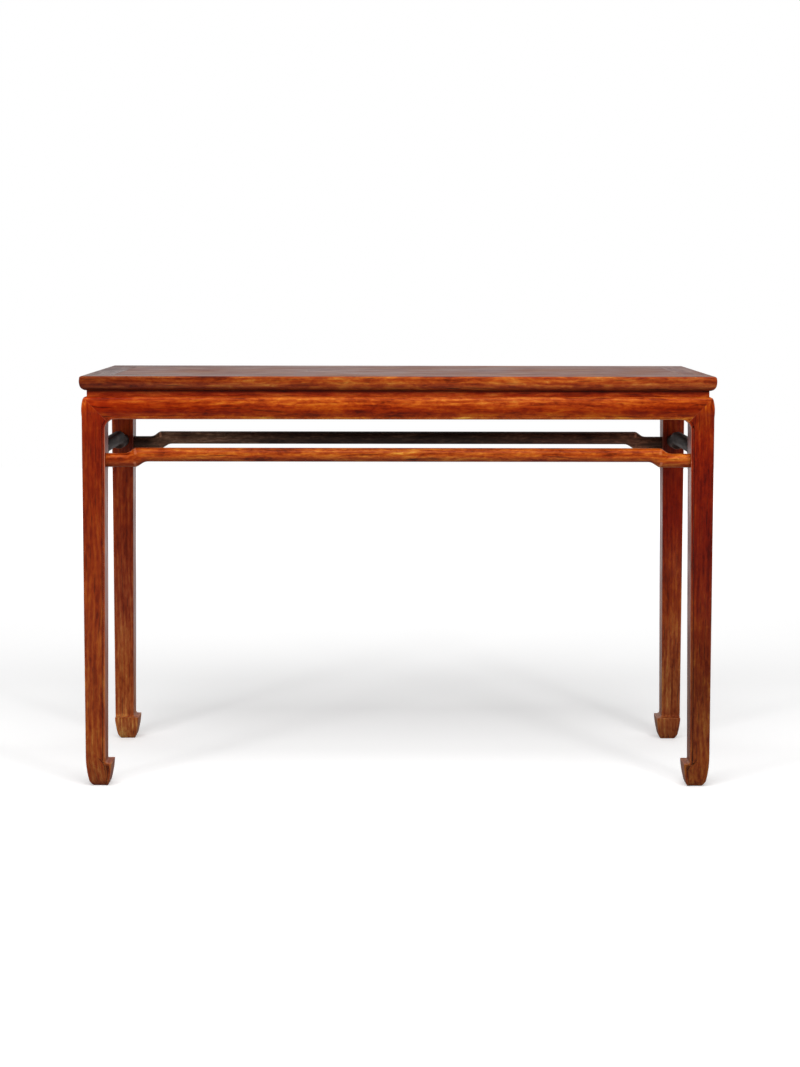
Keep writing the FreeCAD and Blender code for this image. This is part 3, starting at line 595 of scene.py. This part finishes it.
# Painted light on the apron's face: a painted highlight along the bead, painted shade over the
# lower face, growing lighter up to the shoulder
APRON_LIGHT_TONES = {
    APRON_EDGE: (0.65, 0.80, 0.85),
    APRON_EDGE + 4.6 * MM: (0.65, 0.80, 0.85),
    APRON_EDGE + 6.3 * MM: (0.50, 0.30, 0.08),
    APRON_EDGE + 8.4 * MM: (0.53, 0.41, 0.15),
    APRON_EDGE + 14.5 * MM: (0.46, 0.21, 0.05),
    APRON_EDGE + 22.6 * MM: (0.60, 0.32, 0.18),
    APRON_EDGE + 28.8 * MM: (0.80, 0.62, 0.45),
    SHOULDER: (1.0, 1.0, 1.0),
}
APRON_RUN = {
    -0.62: (0.95, 0.55, 0.40), -0.58: (0.70, 0.33, 0.25), -0.25: (0.96, 0.93, 0.62),
    0: (1.0, 0.96, 0.70), 0.2: (0.98, 1.0, 1.0), 0.5: (0.97, 0.88, 0.60),
}
# Painted light on the tops of the legs: darker at the apron's lower edge, lighter up to the
# shoulder
LEG_TOP_LIGHT_AND_SHADE = {
    0.746: (0.70, 0.22, 0.10), 0.760: (0.85, 0.32, 0.14), 0.773: (1.1, 0.50, 0.16),
    SHOULDER: (1.35, 1.0, 0.6),
}
# Painted shade on the lower part of the front stretcher
RAIL_SHADE_TONES = {0.655: (0.68, 0.62, 0.95), 0.672: (1.0, 1.0, 1.0)}
RAIL_RUN = {-0.5: (0.89, 0.82, 0.82), 0: (0.83, 0.87, 1.0), 0.45: (1.0, 1.0, 0.97)}
# Painted shade along the back stretcher: darkest in the middle under the top, lighter towards the
# ends where light reaches under it, and dark again where it meets the legs
BACK_RAIL_SHADE_RUN = {
    -0.583: (0.30, 0.25, 0.25), -0.56: (0.40, 0.36, 0.36), -0.535: (1.0, 1.0, 1.0),
    -0.35: (0.68, 0.69, 0.71), -0.15: (0.18, 0.17, 0.18), 0.15: (0.18, 0.18, 0.19),
    0.35: (0.57, 0.43, 0.40), 0.535: (0.88, 0.67, 0.62), 0.56: (0.40, 0.32, 0.30),
    0.583: (0.30, 0.25, 0.25),
}


# Pieces

# The way that the grain runs on each side
SIDES = {"front": "X", "back": "X", "left": "Y", "right": "Y"}

# Where the heart of the tree lies from the middle of a board: along its grain, then across it
FRAME_HEARTS = {"front": (1.5, 0.07, 0.07), "back": (1.2, 0.07, 0.06),
                "left": (1.2, 0.07, 0.06), "right": (1.5, 0.07, 0.07)}
APRON_HEARTS = {"front": (0.5, 0.05, 0.03), "back": (0.4, 0.05, 0.03),
                "left": (0.4, 0.05, 0.03), "right": (0.5, 0.05, 0.03)}
PANEL_HEART = (0, 0.02, 0.09)
BRACE_HEART = (0.2, 0.05, 0.04)
WAIST_HEART = (0.5, 0.06, 0.05)
STRETCHER_HEART = (0.7, 0.05, 0.03)
KEY_HEART = (0, 0.05, 0.04)

FRAME_TINT = (0.81, 1.14, 1.1)
PANEL_TINT = (0.31, 0.52, 0.74)
WAIST_TINT = (0.72, 0.62, 0.60)
APRON_TINT = (1.06, 1.66, 1.75)
INNER_TINT = (0.5, 0.5, 0.5)

# Each leg: its heart, its tint, its flame and the tones from its sole up
# Most of the tones are painted light: paler and less red low down, a painted reflection of the
# pale floor. The back legs also have a darker band where the stretchers meet them, and their
# lighter tints are partly painted light, making up for the top's shade.
LEGS = {
    "front_left": ((0, 0.06, 0.05), (0.65, 1.02, 1.28), 0.7, {
        0: (0.75, 0.65, 0.85), 0.10: (0.97, 0.95, 0.94), 0.21: (0.98, 0.97, 0.84),
        0.375: (0.91, 0.68, 0.46), 0.54: (0.82, 0.47, 0.29), 0.70: (0.67, 0.24, 0.14)}),
    "front_right": ((0.4, 0.06, 0.06), (0.58, 1.09, 1.32), 0.9, {
        0: (0.98, 1.0, 1.0), 0.10: (0.75, 0.70, 0.70), 0.21: (0.55, 0.40, 0.26),
        0.375: (0.57, 0.18, 0.07), 0.54: (0.54, 0.10, 0.02), 0.70: (0.79, 0.19, 0.055)}),
    "back_left": ((0.8, 0.06, 0.07), (1.0, 2.45, 4.8), 0.7, {
        0: (0.80, 0.80, 0.80), 0.04: (1.0, 1.0, 1.0), 0.13: (0.77, 0.55, 0.43),
        0.31: (0.64, 0.37, 0.40), 0.49: (0.63, 0.28, 0.18), 0.62: (0.55, 0.22, 0.15),
        0.65: (0.34, 0.14, 0.12), 0.68: (0.34, 0.14, 0.10), 0.70: (0.62, 0.28, 0.18)}),
    "back_right": ((1.2, 0.06, 0.08), (0.71, 1.64, 3.3), 0.7, {
        0: (0.80, 0.80, 0.80), 0.04: (1.0, 1.0, 1.0), 0.13: (0.93, 0.92, 0.85),
        0.31: (0.98, 0.53, 0.22), 0.49: (0.70, 0.11, 0.02), 0.62: (0.55, 0.08, 0.02),
        0.65: (0.38, 0.10, 0.06), 0.68: (0.38, 0.10, 0.06), 0.70: (0.70, 0.22, 0.12)}),
}

# Each stretcher: its tint, its wood, how dull it is and its tones along an axis
STRETCHERS = {
    "front": ((1.03, 1.62, 1.13), HEARTWOOD, WAXED, (("Z", RAIL_SHADE_TONES), ("X", RAIL_RUN))),
    "back": ((4.9, 5.0, 4.8), DARKENED, 0.55, (("X", BACK_RAIL_SHADE_RUN),)),
    "left": ((0.55, 0.40, 0.35), DARKENED, 0.60, ()),
    "right": ((0.55, 0.40, 0.35), DARKENED, 0.60, ()),
}


def finish_top():
    """The frame and its panel, and the braces under the panel."""
    for name, grain in SIDES.items():
        node = f"top_frame_{name}"
        wood = make_wood(f"{name}_frame_wood", node, grain, FRAME_HEARTS[name], FRAME_TINT,
                         changes=(("Z", MOULDING_SHADE_TONES), ("X", MOULDING_RUN)))
        finish(node, ease_moulding, wood, RIM_ANGLE)
    wood = make_wood("panel_wood", "top_panel", "X", PANEL_HEART, PANEL_TINT)
    finish("top_panel", ease_seams, wood)
    for name in ("left", "middle", "right"):
        node = f"panel_brace_{name}"
        wood = make_wood(f"{name}_brace_wood", node, "Y", BRACE_HEART, INNER_TINT)
        finish(node, ease_board, wood)


def finish_waist():
    for name, grain in SIDES.items():
        node = f"waist_{name}"
        wood = make_wood(f"{name}_waist_wood", node, grain, WAIST_HEART, WAIST_TINT,
                         changes=(("Z", WAIST_SHADOW_TONES),))
        finish(node, ease_seams, wood)


def finish_aprons():
    for name, grain in SIDES.items():
        node = f"apron_{name}"
        wood = make_wood(f"{name}_apron_wood", node, grain, APRON_HEARTS[name], APRON_TINT,
                         changes=(("Z", APRON_LIGHT_TONES), ("X", APRON_RUN)))
        finish(node, ease_apron, wood)


def finish_legs():
    for name, (heart, tint, flame, tones) in LEGS.items():
        node = f"leg_{name}"
        wood = make_wood(f"{name}_leg_wood", node, "Z", heart, tint, flame,
                         changes=(("Z", {**tones, **LEG_TOP_LIGHT_AND_SHADE}),))
        finish(node, ease_leg, wood)


def finish_stretchers():
    for name, (tint, colors, dullness, changes) in STRETCHERS.items():
        node = f"stretcher_{name}"
        grain = SIDES[name]
        wood = make_wood(f"{name}_stretcher_wood", node, grain, STRETCHER_HEART, tint,
                         colors=colors, dullness=dullness, changes=changes)
        axis = "XY".index(grain)
        finish(node, ease_crests(axis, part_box(node)[1][axis]), wood, CREST_ANGLE)


def finish_keys():
    wood = make_wood("key_wood", "apron_keys", "Z", KEY_HEART, INNER_TINT)
    finish("apron_keys", ease_board, wood)


# Studio

LENS = 62.54
SENSOR_WIDTH = 36
SHIFT = (0.0017, -0.1030)
CAMERA_PLACE = (0.0, -3.906, 1.032)
PITCH = 4.55
ROLL = -0.07

# The floor: its size and its gap under the soles, and how bright its paper shows to the camera,
# from front to back and then all round further out
FLOOR_REACH = 6
FLOOR_GAP = 0.1 * MM
FLOOR_GLOW = {
    -1.0: 0.40, -0.45: 0.25, -0.25: 0.16, -0.1: 0.17, 0: 0.25, 0.14: 0.33, 0.3: 0.35,
    0.6: 0.345, 0.75: 0.32, 0.9: 0.335, 1.3: 0.43, 1.8: 0.52, 3.0: 0.80,
}
FAR_GLOW = (1.9, 3.6, 0.3, 1.0)
# How bright it shows in the wax, behind the table and in front of it
BACK_REFLECTED = (0.2, 4.0, 0.0, 1.2)
FRONT_REFLECTED = (-0.5, -1.5, 0.0, 0.4)
# How pale the paper is as the camera sees it, and as the table does
SEEN_PAPER = (0.8, 0.8, 0.8)
LIT_PAPER = (0.35, 0.35, 0.35)

# The light of the world by depth: a dim room in front and a bright backdrop behind
WHITE = (1, 1, 1, 1)
WORLD_LIGHT = (-0.2, 0.5, 0.05, 0.68)

# Each lamp: its place, its width and height, and its power
LAMP_AIM = (0, 0, 0.45)
LAMPS = {
    "overhead_softbox": ((0, -1.5, 2.95), 3.4, 2.2, 100),
    "left_softbox": ((-2.4, -2.6, 1.3), 0.5, 0.9, 24),
    "right_softbox": ((2.0, -2.9, 1.3), 0.5, 0.9, 24),
}


def set_camera():
    data = bpy.data.cameras.new("camera")
    data.lens = LENS
    data.sensor_width = SENSOR_WIDTH
    data.shift_x, data.shift_y = SHIFT
    camera = bpy.data.objects.new("camera", data)
    camera.location = CAMERA_PLACE
    camera.rotation_euler = [math.radians(turn) for turn in (90 - PITCH, ROLL, 0)]
    bpy.context.scene.collection.objects.link(camera)
    bpy.context.scene.camera = camera


def make_paper():
    """White paper: it takes the table's shadow near it, and is plain white further out."""
    material = bpy.data.materials.new("white_paper")
    shades = Shades(material)
    place = shades.place()
    depth = shades.add("SeparateXYZ", {"Vector": place}).outputs["Y"]
    near = shades.tones(depth, {place: (glow,) * 3 for place, glow in FLOOR_GLOW.items()})
    glow = shades.sum("MAXIMUM", near, shades.between(shades.vector("LENGTH", place), *FAR_GLOW))
    around = shades.sum("MAXIMUM", shades.between(depth, *BACK_REFLECTED),
                        shades.between(depth, *FRONT_REFLECTED))
    path = shades.add("LightPath")
    reflected = shades.sum("MULTIPLY", path.outputs["Is Glossy Ray"], around)
    straight = shades.sum("MULTIPLY", path.outputs["Is Camera Ray"], glow)
    seen = shades.sum("MAXIMUM", straight, reflected)
    color = shades.mix("MIX", path.outputs["Is Camera Ray"], LIT_PAPER, SEEN_PAPER)
    paper = shades.add("BsdfDiffuse", {"Color": color})
    light = shades.add("Emission", {"Color": WHITE, "Strength": seen})
    both = shades.add("AddShader", {0: paper.outputs[0], 1: light.outputs[0]})
    below = shades.add("NewGeometry").outputs["Backfacing"]
    clear = shades.add("BsdfTransparent")
    either = shades.add("MixShader", {0: below, 1: both.outputs[0], 2: clear.outputs[0]})
    shades.add("OutputMaterial", {"Surface": either.outputs[0]})
    return material


def lay_floor():
    """A sheet of paper under the soles, clear when it is seen from below."""
    bm = bmesh.new()
    under_soles = Matrix.Translation((0, 0, -FLOOR_GAP))
    bmesh.ops.create_grid(bm, x_segments=1, y_segments=1, size=FLOOR_REACH, matrix=under_soles)
    mesh = bpy.data.meshes.new("floor")
    bm.to_mesh(mesh)
    bm.free()
    floor = bpy.data.objects.new("floor", mesh)
    bpy.context.scene.collection.objects.link(floor)
    mesh.materials.append(make_paper())


def set_world():
    """White to the camera; to the table, a bright backdrop behind and a dim room in front."""
    world = bpy.data.worlds.new("studio")
    bpy.context.scene.world = world
    shades = Shades(world)
    way = shades.add("TexCoord").outputs["Generated"]
    depth = shades.add("SeparateXYZ", {"Vector": way}).outputs["Y"]
    seen = shades.add("Mix", {"Factor": shades.add("LightPath").outputs["Is Camera Ray"],
                              "A": shades.between(depth, *WORLD_LIGHT), "B": 1})
    light = shades.add("Background", {"Color": WHITE, "Strength": seen.outputs[0]})
    shades.add("OutputWorld", {"Surface": light.outputs[0]})


def hang_lamps():
    """Softboxes that light the table and stay out of its reflections."""
    for name, (place, width, height, power) in LAMPS.items():
        data = bpy.data.lights.new(name, "AREA")
        data.shape = "RECTANGLE"
        data.size, data.size_y = width, height
        data.energy = power
        lamp = bpy.data.objects.new(name, data)
        lamp.location = place
        lamp.visible_glossy = False
        aim = Vector(LAMP_AIM) - Vector(place)
        lamp.rotation_euler = aim.to_track_quat("-Z", "Y").to_euler()
        bpy.context.scene.collection.objects.link(lamp)


finish_top()
finish_waist()
finish_aprons()
finish_legs()
finish_stretchers()
finish_keys()
lay_floor()
set_world()
hang_lamps()
set_camera()
bpy.context.scene.view_settings.view_transform = "Standard"
